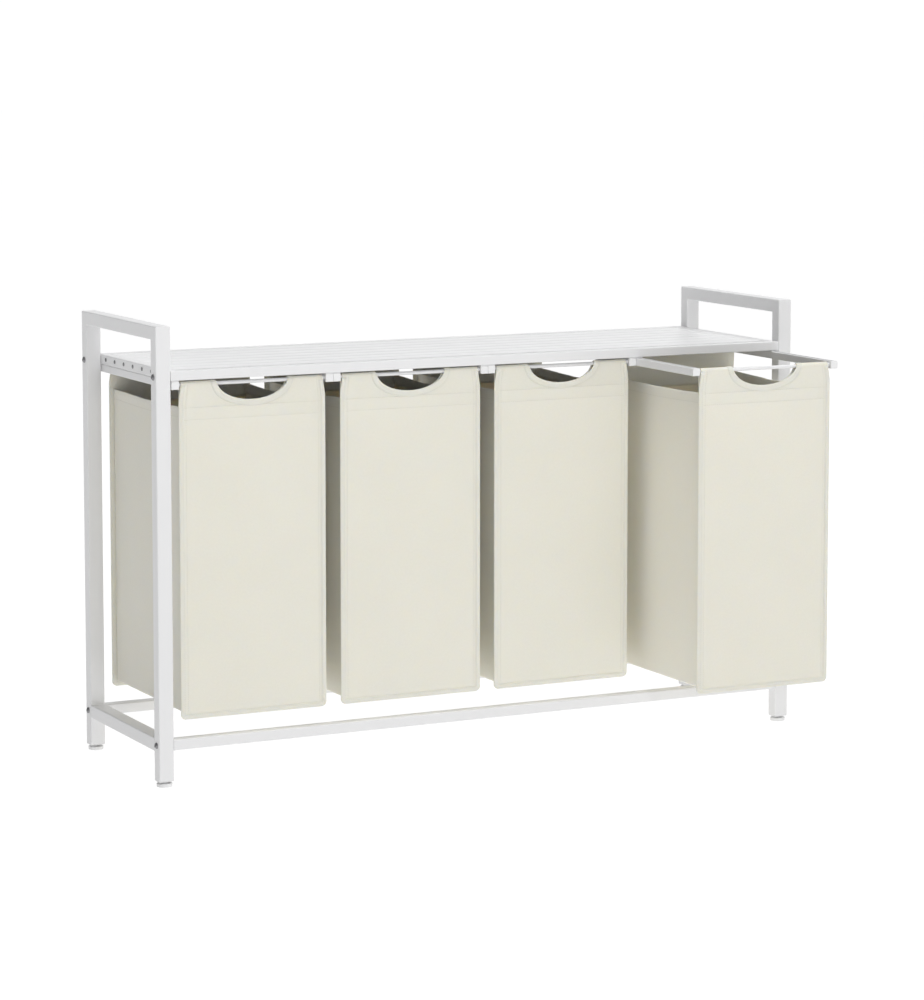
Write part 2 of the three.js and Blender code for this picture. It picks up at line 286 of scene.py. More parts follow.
def makeCloth(name, look, shade=1.0):
    material, tree, surface = startMaterial(name)
    flat = addNode(tree, "ShaderNodeAttribute", {"attribute_name": "cut"}).outputs["Vector"]
    wander = addNode(tree, "ShaderNodeTexNoise", Vector=flat, Scale=55.0, Detail=2.0)
    split = addNode(tree, "ShaderNodeSeparateXYZ", Vector=flat)
    sway = compute(tree, "MULTIPLY", wander.outputs[0], 1.6 * look["pitch"])
    waves = []
    for axis in (0, 1):
        along = compute(tree, "ADD", split.outputs[axis], sway)
        waves.append(compute(tree, "SINE", compute(tree, "MULTIPLY", along, math.pi / look["pitch"])))
    ridges = [compute(tree, "POWER", compute(tree, "ABSOLUTE", wave), 0.6) for wave in waves]
    over = compute(tree, "MULTIPLY_ADD", compute(tree, "MULTIPLY", waves[0], waves[1]), 2.2, 0.5)
    over.node.use_clamp = True
    under = compute(tree, "SUBTRACT", 1.0, over)
    height = compute(tree, "ADD", compute(tree, "MULTIPLY", ridges[0], over),
                     compute(tree, "MULTIPLY", ridges[1], under))
    slubs = addNode(tree, "ShaderNodeTexNoise", Vector=flat, Scale=look["slubScale"], Detail=3.0)
    cloud = addNode(tree, "ShaderNodeTexNoise", Vector=flat, Scale=look["cloudScale"], Detail=4.0)
    # colour tone: the weave height paints shade into the hollows between threads; slubs and clouds add
    # random tone of the cloth itself
    tone = compute(tree, "MULTIPLY_ADD", height, 0.30, 0.42)
    tone = compute(tree, "ADD", tone, compute(tree, "MULTIPLY", slubs.outputs[0], 0.22))
    tone = compute(tree, "ADD", tone, compute(tree, "MULTIPLY", cloud.outputs[0], 0.26))
    tone = compute(tree, "SUBTRACT", tone, 0.12)
    tone.node.use_clamp = True
    # painted hollow shade and dark tone, scaled by the tape's tone
    low = [part * shade for part in look["hollow"]]
    high = [part * shade for part in look["thread"]]
    tree.links.new(tint(tree, tone, low, high), surface.inputs["Base Color"])
    relief = compute(tree, "MULTIPLY_ADD", slubs.outputs[0], 0.5, height)
    bump = addNode(tree, "ShaderNodeBump", Strength=0.55, Distance=look["weaveDepth"], Height=relief)
    tree.links.new(bump.outputs[0], surface.inputs["Normal"])
    surface.inputs["Roughness"].default_value = look["roughness"]
    surface.inputs["Sheen Weight"].default_value = 0.08
    surface.inputs["Sheen Roughness"].default_value = 0.5
    surface.inputs["Subsurface Weight"].default_value = look["seeThrough"]   # daylight glows through
    surface.inputs["Subsurface Radius"].default_value = (1.0, 0.86, 0.62)
    surface.inputs["Subsurface Scale"].default_value = look["seeThroughDepth"]
    surface.inputs["Specular IOR Level"].default_value = 0.25
    return material


# Sewing thread: twisted yarn, a touch darker than the cloth.
sewingThread = {"low": (0.60, 0.585, 0.50), "high": (0.80, 0.785, 0.69), "twist": 2600}


def makeThread(name, look):
    material, tree, surface = startMaterial(name)
    place = addNode(tree, "ShaderNodeTexCoord").outputs["Object"]
    twist = addNode(tree, "ShaderNodeTexNoise", Vector=place, Scale=look["twist"], Detail=2.0)
    tree.links.new(tint(tree, twist.outputs[0], look["low"], look["high"]), surface.inputs["Base Color"])
    surface.inputs["Roughness"].default_value = 0.7
    return material


whiteCoat = makePowderCoat("whiteCoat", powderCoat)
whitePlastic = makePlastic("whitePlastic", mouldedPlastic)
zincSteel = makeSteel("zincSteel", zincPlate)
ivoryCloth = makeCloth("ivoryCloth", oxford)
tapeCloth = makeCloth("tapeCloth", oxford, 0.985)
ivoryThread = makeThread("ivoryThread", sewingThread)
print("materials ready")


# Mesh helpers shared by every piece.

def finishMesh(name, shape, material, crease=None, bevel=0.0):
    mesh = bpy.data.meshes.new(name)
    bmesh.ops.recalc_face_normals(shape, faces=shape.faces)
    shape.to_mesh(mesh)
    shape.free()
    for face in mesh.polygons:
        face.use_smooth = True
    piece = bpy.data.objects.new(name, mesh)
    bpy.context.scene.collection.objects.link(piece)
    mesh.materials.append(material)
    if bevel:
        edge = piece.modifiers.new("softEdge", "BEVEL")
        edge.width = bevel
        edge.segments = 3
        edge.limit_method = "ANGLE"
        edge.angle_limit = math.radians(32)
    if crease is not None:
        even = piece.modifiers.new("evenLight", "WEIGHTED_NORMAL")
        even.keep_sharp = True
        even.weight = crease
    return piece


def settle(piece, body, slotName, *nodes):
    if nodes:
        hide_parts(*nodes)
    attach(piece, body)
    return piece


def roundedSection(width, height, radius, steps=5):
    points = []
    for quarter in range(4):
        start = quarter * math.pi / 2
        signX, signY = ((1, 1), (-1, 1), (-1, -1), (1, -1))[quarter]
        for step in range(steps + 1):
            turn = start + step / steps * math.pi / 2
            points.append((signX * (width / 2 - radius) + radius * math.cos(turn),
                           signY * (height / 2 - radius) + radius * math.sin(turn)))
    return points


# Skins a run of rings, each a list of points, and closes both ends.
def skinRings(rings):
    shape = bmesh.new()
    rows = [[shape.verts.new(point) for point in ring] for ring in rings]
    count = len(rows[0])
    for first, second in zip(rows, rows[1:]):
        for i in range(count):
            j = (i + 1) % count
            shape.faces.new((first[i], first[j], second[j], second[i]))
    shape.faces.new(rows[0])
    shape.faces.new(rows[-1])
    return shape


# Bar with rounded long edges that fills a box, running along x, y or z.
def makeBar(name, low, high, axis, corner, material, bevel=0.35 * mm):
    low, high = Vector(low), Vector(high)
    middle, size = (low + high) / 2, high - low
    run = "xyz".index(axis)
    across, up = [i for i in range(3) if i != run]
    section = roundedSection(size[across], size[up], corner)
    rings = []
    for end in (low[run], high[run]):
        ring = []
        for u, v in section:
            point = middle.copy()
            point[run] = end
            point[across] += u
            point[up] += v
            ring.append(point)
        rings.append(ring)
    return finishMesh(name, skinRings(rings), material, 50, bevel)


# Solid of revolution about a line through centre; profile is (radius, distance along).
def turnProfile(name, profile, centre, direction, material, steps=48):
    direction = Vector(direction).normalized()
    side = direction.orthogonal().normalized()
    other = direction.cross(side)
    rings = []
    for radius, along in profile:
        ring = []
        for i in range(steps):
            turn = 2 * math.pi * i / steps
            reach = radius(turn) if callable(radius) else radius
            ring.append(Vector(centre) + direction * along
                        + side * reach * math.cos(turn) + other * reach * math.sin(turn))
        rings.append(ring)
    return finishMesh(name, skinRings(rings), material, 50)


# Stand: end frames, rails, shelf.

standTubes = {
    "corner": 2.0 * mm,
    "softEdge": 0.5 * mm,
    "footInsert": 1.2 * mm,   # plastic lip that closes each leg
    "weldRadius": 1.5 * mm,
    "slatCorner": 1.0 * mm,
    "slatGap": 0.5 * mm,      # each slat stays this far inside its place, front and rear
    "reach": 0.3 * mm,        # takes up the fitting gap at each end of a bar
}

sides = {"left": -1, "right": 1}
ends = {"front": -1, "rear": 1}


def sweepFrame(name, stops, section, bevel):
    # stops are (centre, direction that the section's second axis points in)
    rings = []
    for centre, out in stops:
        rings.append([Vector(centre) + Vector((u, 0, 0)) + Vector(out) * v for u, v in section])
    return finishMesh(name, skinRings(rings), whiteCoat, 50, bevel)


def buildEndFrame(sideName):
    frontLow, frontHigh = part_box(f"leg_front_{sideName}")
    rearLow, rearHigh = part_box(f"leg_rear_{sideName}")
    handleLow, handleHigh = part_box(f"handle_bar_{sideName}")
    wide, deep = frontHigh.x - frontLow.x, frontHigh.y - frontLow.y
    midX = (frontLow.x + frontHigh.x) / 2
    frontY, rearY = (frontLow.y + frontHigh.y) / 2, (rearLow.y + rearHigh.y) / 2
    bottom = frontLow.z + standTubes["footInsert"]
    top = (handleLow.z + handleHigh.z) / 2
    stops = [
        ((midX, frontY, bottom), (0, -1, 0)),
        ((midX, frontY, top), (0, -1, 1)),
        ((midX, rearY, top), (0, 1, 1)),
        ((midX, rearY, bottom), (0, 1, 0)),
    ]
    section = roundedSection(wide, deep, standTubes["corner"])
    piece = sweepFrame(f"end_frame_{sideName}", stops, section, standTubes["softEdge"])
    settle(piece, "stand", "frame_paint", f"leg_front_{sideName}", f"leg_rear_{sideName}",
           f"handle_bar_{sideName}")
    railLow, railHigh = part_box(f"side_rail_{sideName}")
    railLow.y, railHigh.y = frontHigh.y - 0.2 * mm, rearLow.y + 0.2 * mm
    rail = makeBar(f"end_rail_{sideName}", railLow, railHigh, "y", standTubes["corner"], whiteCoat)
    settle(rail, "stand", "frame_paint", f"side_rail_{sideName}")
    for endName, jointY in (("front", frontHigh.y), ("rear", rearLow.y)):
        for level, jointZ in (("top", railHigh.z), ("under", railLow.z)):
            weldBead(f"weld_{endName}_{sideName}_{level}", midX, jointY, jointZ,
                     wide / 2 - standTubes["corner"])
    for endName in ends:
        low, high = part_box(f"leg_{endName}_{sideName}")
        high.z = low.z + standTubes["footInsert"]
        inset = Vector((0.15 * mm, 0.15 * mm, 0))
        insert = makeBar(f"leg_insert_{endName}_{sideName}", low + inset, high - inset, "z",
                         standTubes["corner"], whitePlastic, 0.3 * mm)
        settle(insert, "stand", "foot_plastic")


# Short fillet of weld under the paint, with a slightly uneven ripple.
def weldBead(name, midX, y, z, half):
    steps, around = 26, 10
    rings = []
    for i in range(steps + 1):
        x = midX + half * (2 * i / steps - 1)
        fade = max(math.sin(math.pi * i / steps), 0.0) ** 0.35
        ripple = 1 + 0.12 * math.sin(i * 1.9) + 0.08 * noise.noise(Vector((x * 900, y * 50, z * 50)))
        radius = max(standTubes["weldRadius"] * fade * ripple, 0.2 * mm)
        rings.append([(x, y + radius * math.cos(2 * math.pi * j / around),
                       z + radius * math.sin(2 * math.pi * j / around)) for j in range(around)])
    settle(finishMesh(name, skinRings(rings), whiteCoat), "stand", "frame_paint")


for sideName in sides:
    buildEndFrame(sideName)

def reachOut(low, high, axis):
    run = "xyz".index(axis)
    low[run] -= standTubes["reach"]
    high[run] += standTubes["reach"]
    return low, high


shelfBars = {
    "base_rail_front": ("base_bar_front", "x", 2.2 * mm),
    "base_rail_rear": ("base_bar_rear", "x", 2.2 * mm),
    "shelf_rail_front": ("shelf_edge_front", "x", 1.4 * mm),
    "shelf_rail_rear": ("shelf_edge_rear", "x", 1.4 * mm),
    "shelf_end_left": ("shelf_side_left", "y", 1.4 * mm),
    "shelf_end_right": ("shelf_side_right", "y", 1.4 * mm),
}
for node, (name, axis, corner) in shelfBars.items():
    low, high = reachOut(*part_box(node), axis)
    settle(makeBar(name, low, high, axis, corner, whiteCoat), "stand", "frame_paint", node)

slatNodes = sorted(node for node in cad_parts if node.startswith("shelf_slat_"))
for node in slatNodes:
    low, high = reachOut(*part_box(node), "x")
    low.y += standTubes["slatGap"]
    high.y -= standTubes["slatGap"]
    number = node.rsplit("_", 1)[1]
    slat = makeBar(f"slat_{number}", low, high, "x", standTubes["slatCorner"], whiteCoat)
    settle(slat, "stand", "frame_paint", node)
print("stand built")


# Bolts, slat screws, feet and tracks.

domeHead = {"radius": 5.0 * mm, "height": 2.6 * mm, "hexFlat": 2.05 * mm, "hexDepth": 1.7 * mm}
slatScrew = {"radius": 3.3 * mm, "height": 1.1 * mm, "crossReach": 2.1 * mm, "crossDepth": 1.0 * mm}


def hexagon(turn):
    return domeHead["hexFlat"] / math.cos((turn + math.pi / 6) % (math.pi / 3) - math.pi / 6)


def cross(turn):
    return slatScrew["crossReach"] * (0.34 + 0.66 * abs(math.cos(2 * turn)) ** 5)


def headProfile(look, recess, depth):
    profile = [(0.05 * mm, -1.0 * mm), (0.86 * look["radius"], -1.0 * mm), (look["radius"], 0.0)]
    for step in range(1, 7):
        rise = step / 6 * math.radians(66)
        profile.append((look["radius"] * math.cos(rise), look["height"] * math.sin(rise) / 0.93))
    top = look["height"] / 0.93 * math.sin(math.radians(70))
    profile.append((lambda turn: recess(turn) + 0.15 * mm, top))
    profile.append((recess, top - 0.15 * mm))
    profile.append((lambda turn: 0.94 * recess(turn), top - depth))
    profile.append((0.05 * mm, top - depth - 0.2 * mm))
    return profile


for node in sorted(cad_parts):
    if not node.startswith("bolt_"):
        continue
    low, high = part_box(node)
    side = sides[node.rsplit("_", 1)[1]]
    face = high.x - domeHead["height"] if side > 0 else low.x + domeHead["height"]
    centre = (face, (low.y + high.y) / 2, (low.z + high.z) / 2)
    level = node.replace("bolt_", "")
    bolt = turnProfile(f"dome_bolt_{level}", headProfile(domeHead, hexagon, domeHead["hexDepth"]),
                       centre, (side, 0, 0), zincSteel, 72)
    settle(bolt, "stand", "bolt_steel", node)

for sideName, side in sides.items():
    endLow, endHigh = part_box(f"shelf_end_{sideName}")
    face = endHigh.x if side > 0 else endLow.x
    for node in slatNodes:
        low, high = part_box(node)
        centre = (face, (low.y + high.y) / 2, (low.z + high.z) / 2)
        screw = turnProfile(f"slat_screw_{sideName}_{node[-1]}",
                            headProfile(slatScrew, cross, slatScrew["crossDepth"]),
                            centre, (side, 0, 0), zincSteel, 40)
        settle(screw, "stand", "bolt_steel")


levellingFoot = {
    "stud": 3.9 * mm,      # radius over the thread
    "thread": 0.45 * mm,
    "pitch": 1.25 * mm,
    "padTop": 6 * mm,
    "studTop": 14 * mm,
    "edge": 1.3 * mm,
    "recess": 1.0 * mm,
}


def footProfile(low, high, look):
    radius = (high.x - low.x) / 2
    padTop, edge = look["padTop"], look["edge"]
    profile = [(0.05 * mm, look["recess"]), (0.72 * radius, look["recess"]), (0.78 * radius, 0.0)]
    for step in range(7):
        turn = step / 6 * math.pi / 2
        profile.append((radius - edge + edge * math.sin(turn), edge - edge * math.cos(turn)))
    for step in range(7):
        turn = step / 6 * math.pi / 2
        profile.append((radius - edge + edge * math.cos(turn), padTop - edge + edge * math.sin(turn)))
    profile += [(0.62 * radius, padTop), (0.58 * radius, padTop - 0.4 * mm),
                (look["stud"] + 1.2 * mm, padTop - 0.4 * mm),
                (look["stud"] + 1.0 * mm, padTop + 0.5 * mm)]
    z = padTop + 0.5 * mm
    while z < look["studTop"]:
        profile += [(look["stud"] - look["thread"], z), (look["stud"], z + look["pitch"] / 2)]
        z += look["pitch"]
    profile.append((0.05 * mm, z))
    return profile


for sideName in sides:
    for endName in ends:
        node = f"levelling_foot_{endName}_{sideName}"
        low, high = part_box(node)
        centre = ((low.x + high.x) / 2, (low.y + high.y) / 2, 0.0)
        foot = turnProfile(f"foot_{endName}_{sideName}", footProfile(low, high, levellingFoot),
                           centre, (0, 0, 1), whitePlastic, 64)
        settle(foot, f"foot_{endName}_{sideName}", "foot_plastic", node)

track = {
    "plateGap": 0.2 * mm,     # above the rails that slide below
    "plateCorner": 0.4 * mm,
    "runnerInset": 6.2 * mm,  # runner centre from the plate's edge
    "runnerStart": 16 * mm,   # behind the front of a closed rail
    "stem": 2.4 * mm,
    "footWidth": 8 * mm,
    "footHeight": 2.5 * mm,
}


def buildTrack(node):
    low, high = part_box(node)
    railLow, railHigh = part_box("bag_rail_1_left")
    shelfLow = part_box("shelf_rail_front")[0]
    place = node.replace("track_", "")
    plateLow = Vector((low.x, low.y, railHigh.z + track["plateGap"]))
    plateHigh = Vector((high.x, high.y, shelfLow.z - 0.05 * mm))
    plate = makeBar(f"track_plate_{place}", plateLow, plateHigh, "y", track["plateCorner"],
                    whiteCoat, 0.2 * mm)
    settle(plate, "stand", "track_steel", node)
    centres = {low.x + track["runnerInset"], high.x - track["runnerInset"]}
    if high.x - low.x < 3 * track["runnerInset"]:
        centres = {(low.x + high.x) / 2}
    half, foot = track["stem"] / 2, track["footWidth"] / 2
    for count, x in enumerate(sorted(centres)):
        outline = [(-foot, low.z), (foot, low.z), (foot, low.z + track["footHeight"]),
                   (half, low.z + track["footHeight"]), (half, plateLow.z), (-half, plateLow.z),
                   (-half, low.z + track["footHeight"]), (-foot, low.z + track["footHeight"])]
        stops = (railLow.y + track["runnerStart"], railHigh.y)
        rings = [[(x + u, y, z) for u, z in outline] for y in stops]
        name = f"track_runner_{place}_{count + 1}"
        runner = finishMesh(name, skinRings(rings), zincSteel, 50, 0.2 * mm)
        settle(runner, "stand", "track_steel")


for node in sorted(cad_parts):
    if node.startswith("track_"):
        buildTrack(node)
print("fasteners, feet and tracks built")


# Pull-out rails and the rods that carry the cloth.

bagRail = {"wall": 1.4 * mm, "slot": 4.2 * mm, "capDepth": 5 * mm, "capCorner": 1.0 * mm,
           "capOverlap": 0.12 * mm, "seam": 0.25 * mm}
bagRod = {"chamfer": 0.6 * mm}


def channelOutline(width, height, wall, slot):
    outer, inner = width / 2, width / 2 - wall
    bend = 1.2 * mm
    top, lip = height / 2, height / 2 - wall
    outline = [(slot / 2, lip), (slot / 2, top)]
    corners = [(outer - bend, top - bend, 90), (outer - bend, bend - top, 0),
               (bend - outer, bend - top, -90), (bend - outer, top - bend, 180)]
    for x, z, start in corners:
        for step in range(5):
            turn = math.radians(start - step * 22.5)
            outline.append((x + bend * math.cos(turn), z + bend * math.sin(turn)))
    outline += [(-slot / 2, top), (-slot / 2, lip), (-inner, lip),
                (-inner, -lip), (inner, -lip), (inner, lip)]
    return outline


def buildRail(number, sideName):
    node = f"bag_rail_{number}_{sideName}"
    low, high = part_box(node)
    middle = (low + high) / 2
    outline = channelOutline(high.x - low.x, high.z - low.z, bagRail["wall"], bagRail["slot"])
    front = low.y + bagRail["capDepth"] + bagRail["seam"]
    rings = [[(middle.x + x, y, middle.z + z) for x, z in outline] for y in (front, high.y)]
    rail = finishMesh(f"rail_{number}_{sideName}", skinRings(rings), whiteCoat, 50, 0.15 * mm)
    settle(rail, f"bag_{number}", "rail_paint", node)
    overlap = Vector((bagRail["capOverlap"], 0, 0))
    capHigh = Vector((high.x, low.y + bagRail["capDepth"], high.z)) + overlap
    cap = makeBar(f"rail_cap_{number}_{sideName}", low - overlap, capHigh, "y", bagRail["capCorner"],
                  whitePlastic, 0.5 * mm)
    settle(cap, f"bag_{number}", "foot_plastic")


def buildRod(number, endName):
    node = f"bag_rod_{number}_{endName}"
    low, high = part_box(node)
    middle = (low + high) / 2
    radius, edge = (high.z - low.z) / 2, bagRod["chamfer"]
    length = high.x - low.x
    profile = [(radius - edge, 0), (radius, edge), (radius, length - edge), (radius - edge, length)]
    start = (low.x, middle.y, middle.z)
    rod = turnProfile(f"{endName}_rod_{number}", profile, start, (1, 0, 0), whiteCoat, 40)
    settle(rod, f"bag_{number}", "rod_steel", node)
    return rod


# Bags: each is cut flat, hung over its two rods and sewn.

bagCut = {
    "thick": 0.9 * mm,
    "inset": 0.4 * mm,        # room left at each side for the tape
    "seam": 8 * mm,           # width of the sewn flange under its tape
    "corner": 7.5 * mm,
    "gussetCorner": 3 * mm,
    "gussetTop": 600 * mm,
    "neckLow": 608 * mm,
    "neckHigh": 636 * mm,
    "neckTuck": 3.4 * mm,
    "sleeveLine": 43.5 * mm,  # stitch lines below the fold over the rod
    "hemLine": 62.6 * mm,
    "hemEnd": 66 * mm,
    "sleeveDip": 1.5 * mm,    # how far the stitched sleeve is drawn back
    "grip": 64 * mm,          # half width of the oval finger cut-out
    "gripDepth": 35.6 * mm,   # along the cloth, from the fold
    "gripTape": 9.5 * mm,
    "sideStitch": 3.4 * mm,   # second row, inside the flange
    "sideHem": 17 * mm,
    "billow": 1.3 * mm,
    "pucker": 0.32 * mm,
}


def smooth(low, high, value):
    t = min(max((value - low) / (high - low), 0.0), 1.0)
    return t * t * (3 - 2 * t)


def blendStops(stops, gap):
    # fills a rising list of fixed stops with even steps no wider than gap
    filled = [stops[0]]
    for first, second in zip(stops, stops[1:]):
        count = max(1, math.ceil((second - first) / gap))
        filled += [first + (second - first) * i / count for i in range(1, count + 1)]
    return filled


# Everything about one bag's place, read from the frame once.
class BagPlan:
    def __init__(self, number):
        self.number = number
        self.low, self.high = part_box(f"laundry_bag_{number}")
        self.midX = (self.low.x + self.high.x) / 2
        self.half = (self.high.x - self.low.x) / 2 - bagCut["inset"]
        self.bottom = self.low.z
        self.rods = {}
        for endName in ends:
            rodLow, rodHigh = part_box(f"bag_rod_{number}_{endName}")
            self.rods[endName] = (rodLow + rodHigh) / 2
        self.plane = {"front": self.low.y + bagCut["thick"] / 2 + 0.7 * mm,
                      "rear": self.high.y - bagCut["thick"] / 2 - 0.7 * mm}
        self.rodZ = self.rods["front"].z
        self.wrap = {e: abs(self.rods[e].y - self.plane[e]) for e in ends}
        self.fold = {e: self.rodZ + math.pi / 2 * self.wrap[e] for e in ends}

    # half the cut-out's height above and below the fold, at one place across
    def gripHeight(self, x):
        if abs(x) >= bagCut["grip"]:
            return 0.0
        return bagCut["gripDepth"] * math.sqrt(1 - (x / bagCut["grip"]) ** 2)

    # lowest cloth at one place across, with the rounded corners
    def bottomAt(self, x):
        corner = bagCut["corner"]
        past = abs(x) - (self.half - corner)
        if past <= 0:
            return self.bottom
        return self.bottom + corner - math.sqrt(max(corner ** 2 - past ** 2, 0.0))

    def swell(self, x, z, endName):
        seed = self.number * 7.3 + (3.1 if endName == "rear" else 0.0)
        inside = smooth(0, 26 * mm, self.half - bagCut["seam"] - abs(x))
        inside *= smooth(0, 40 * mm, z - self.bottom - bagCut["seam"])
        inside *= 1 - smooth(self.rodZ - 30 * mm, self.rodZ - 9 * mm, z)
        wave = noise.noise(Vector((x * 7.0 + seed, z * 3.2, seed)))
        wave += 0.45 * noise.noise(Vector((x * 17.0, z * 8.0 + seed, seed * 2)))
        rise = min(max((z - self.bottom) / 0.52, 0), 1)
        belly = 0.9 * math.cos(math.pi * x / (2 * self.half)) * math.sin(math.pi * rise)
        sleeve = self.fold["front"] - bagCut["sleeveLine"]
        dip = (1 - smooth(sleeve, self.rodZ - 2 * mm, z)) * smooth(sleeve - 45 * mm, sleeve - 2 * mm, z)
        dip *= smooth(0, 16 * mm, self.half - bagCut["seam"] - abs(x))
        return (bagCut["billow"] * inside * (0.8 * wave + belly) - bagCut["sleeveDip"] * dip
                + self.seamPull(x, z, seed))

    # cloth drawn in along the stitched lines, with small puckers beside them
    def seamPull(self, x, z, seed):
        pull = 0.0
        fold = self.fold["front"]
        edge = self.half - bagCut["seam"] - abs(x)
        floorGap = z - self.bottom - bagCut["seam"]
        near = min(edge, floorGap)
        if near > 0:
            run = z if edge < floorGap else x
            ripple = noise.noise(Vector((run * 95, seed, 1.7)))
            fade = math.exp(-near / (9 * mm)) * smooth(0, 2.5 * mm, near)
            pull += bagCut["pucker"] * ripple * 2.0 * fade
            pull -= 0.30 * mm * math.exp(-((near - 0.6 * mm) / (1.4 * mm)) ** 2)
            pull -= 0.38 * mm * math.exp(-((edge - bagCut["sideStitch"]) / (1.0 * mm)) ** 2)
        for drop in (bagCut["sleeveLine"], bagCut["hemLine"]):
            gap = z - (fold - drop)
            ripple = noise.noise(Vector((x * 110, drop * 900, seed)))
            pull -= 0.45 * mm * math.exp(-(gap / (1.2 * mm)) ** 2)
            pull += bagCut["pucker"] * 0.8 * ripple * math.exp(-(gap / (6 * mm)) ** 2)
        return pull * smooth(-2 * mm, 2 * mm, edge) * smooth(-2 * mm, 2 * mm, floorGap)

    # where a point of the flat panel hangs, and which way the cloth faces there
    def panelPoint(self, endName, x, h, lift=0.0):
        side = ends[endName]
        plane, wrap, rod = self.plane[endName], self.wrap[endName], self.rods[endName]
        over = h - self.rodZ
        if over <= 0:
            z, y, normal = h, plane, Vector((0, side, 0))
            y += side * self.swell(x, z, endName)
        elif over <= math.pi * wrap:
            turn = over / wrap
            y = rod.y + side * wrap * math.cos(turn)
            z = self.rodZ + wrap * math.sin(turn)
            normal = Vector((0, side * math.cos(turn), math.sin(turn)))
        else:
            down = over - math.pi * wrap
            z = self.rodZ - down
            share = smooth(0, self.rodZ - (self.fold[endName] - bagCut["sleeveLine"]) - 3 * mm, down)
            inner = plane - side * (bagCut["thick"] + 0.12 * mm)
            y = (rod.y - side * wrap) * (1 - share) + inner * share
            y += side * self.swell(x, z, endName) * share
            normal = Vector((0, -side, 0))
        tuck = 1 - bagCut["neckTuck"] / self.half * smooth(bagCut["neckLow"], bagCut["neckHigh"], z)
        return Vector((self.midX + x * tuck, y, z)) + normal * lift, normal


# Builds a grid of cloth; place(a, b) gives a point, and skip(a0, a1, b0, b1) leaves a cell out.
def makeSheet(name, across, along, place, material, thick, skip=None):
    mesh = bpy.data.meshes.new(name)
    points, cuts = [], []
    for b in along:
        for a in across:
            points.append(place(a, b))
            cuts.append((a, b))
    faces = []
    wide = len(across)
    for j in range(len(along) - 1):
        for i in range(wide - 1):
            if skip and skip(across[i], across[i + 1], along[j], along[j + 1]):
                continue
            first = j * wide + i
            faces.append((first, first + 1, first + wide + 1, first + wide))
    mesh.from_pydata(points, [], faces)
    layer = mesh.attributes.new("cut", "FLOAT_VECTOR", "POINT")
    for i, cut in enumerate(cuts):
        a, b = [part if isinstance(part, float) else part[0] for part in cut]
        layer.data[i].vector = (a, b, 0)
    shape = bmesh.new()
    shape.from_mesh(mesh)
    bmesh.ops.remove_doubles(shape, verts=shape.verts, dist=0.5e-6)
    loose = [vert for vert in shape.verts if not vert.link_faces]
    bmesh.ops.delete(shape, geom=loose, context="VERTS")
    shape.to_mesh(mesh)
    shape.free()
    for face in mesh.polygons:
        face.use_smooth = True
    mesh.materials.append(material)
    piece = bpy.data.objects.new(name, mesh)
    bpy.context.scene.collection.objects.link(piece)
    body = piece.modifiers.new("clothThickness", "SOLIDIFY")
    body.thickness = thick
    body.offset = 0.0
    body.use_even_offset = False
    return piece


def panelStops(plan, endName, withGrip):
    half, seam = plan.half, bagCut["seam"]
    line = bagCut["sideStitch"]
    steps = [-seam, 1 * mm - seam, 2.6 * mm - seam, 4.6 * mm - seam, 6.6 * mm - seam,
             0.0, 0.7 * mm, 1.5 * mm, line - 1.0 * mm, line, line + 1.0 * mm, line + 2.2 * mm,
             8 * mm, 12 * mm]
    edge = [half - seam - step for step in steps]
    across = [-stop for stop in edge] + edge
    if withGrip:
        rows = 15
        across += [bagCut["grip"] * math.sin(math.pi / 2 * i / rows) for i in range(-rows, rows + 1)]
    across = blendStops(sorted(across), 4.2 * mm)
    fold = plan.fold[endName]
    sleeve, hem = fold - bagCut["sleeveLine"], fold - bagCut["hemLine"]
    low = plan.bottom
    along = [low, low + 1 * mm, low + 3 * mm, low + 5.5 * mm, low + seam, low + seam + 1.2 * mm,
             low + seam + 2.6 * mm, low + seam + 5 * mm, low + seam + 9 * mm]
    for line in (hem, sleeve):
        along += [line - 3 * mm, line - 1.3 * mm, line, line + 1.3 * mm, line + 3 * mm]
    along = blendStops(along + [plan.rodZ], 5.2 * mm)
    wrapEnd = plan.rodZ + math.pi * plan.wrap[endName]
    rise = [plan.rodZ + (fold - plan.rodZ) * i / 6 for i in range(1, 7)]
    down = [2 * fold - h for h in reversed([plan.rodZ] + rise[:-1])]
    end = wrapEnd + bagCut["hemEnd"] - (fold - plan.rodZ)
    return across, along + rise, down + blendStops([wrapEnd, end], 4 * mm)[1:]


def buildPanel(plan, endName):
    withGrip = endName == "front"
    across, frontRows, backRows = panelStops(plan, endName, withGrip)
    fold = plan.fold[endName]
    base = fold - bagCut["gripDepth"] - 9 * mm       # rows bend round the cut-out above this
    lowBand = plan.bottom + 16 * mm                  # and round the bottom corners below this

    def rowHeight(x, h):
        if h < lowBand:
            start = plan.bottomAt(x)
            return start + (h - plan.bottom) * (lowBand - start) / (lowBand - plan.bottom)
        gap = plan.gripHeight(x) if withGrip else 0.0
        if not gap:
            return h
        back = h > fold
        mirrored = 2 * fold - h if back else h
        if mirrored > base:
            mirrored = base + (mirrored - base) * (fold - gap - base) / (fold - base)
        return 2 * fold - mirrored if back else mirrored

    def place(a, b):
        return plan.panelPoint(endName, a, rowHeight(a, b[0] if isinstance(b, tuple) else b))[0]

    # the fold row is laid twice, so that the cut-out opens along it
    rows = frontRows + [fold + 1e-7] + backRows
    rows = [row for i, row in enumerate(rows) if i == 0 or row > rows[i - 1]]

    def skip(a0, a1, b0, b1):
        onFold = abs(b0 - fold) < 1e-6 and abs(b1 - fold) < 1e-6
        return withGrip and onFold and abs(a0 + a1) / 2 < bagCut["grip"]

    name = f"{endName}_panel_{plan.number}"
    piece = makeSheet(name, across, rows, place, ivoryCloth, bagCut["thick"], skip)
    flatLength = rows[-1] - rows[0]
    flatArea = 2 * plan.half * flatLength
    if withGrip:
        flatArea -= math.pi * bagCut["grip"] * bagCut["gripDepth"]
    return piece, (2 * plan.half, flatLength), flatArea


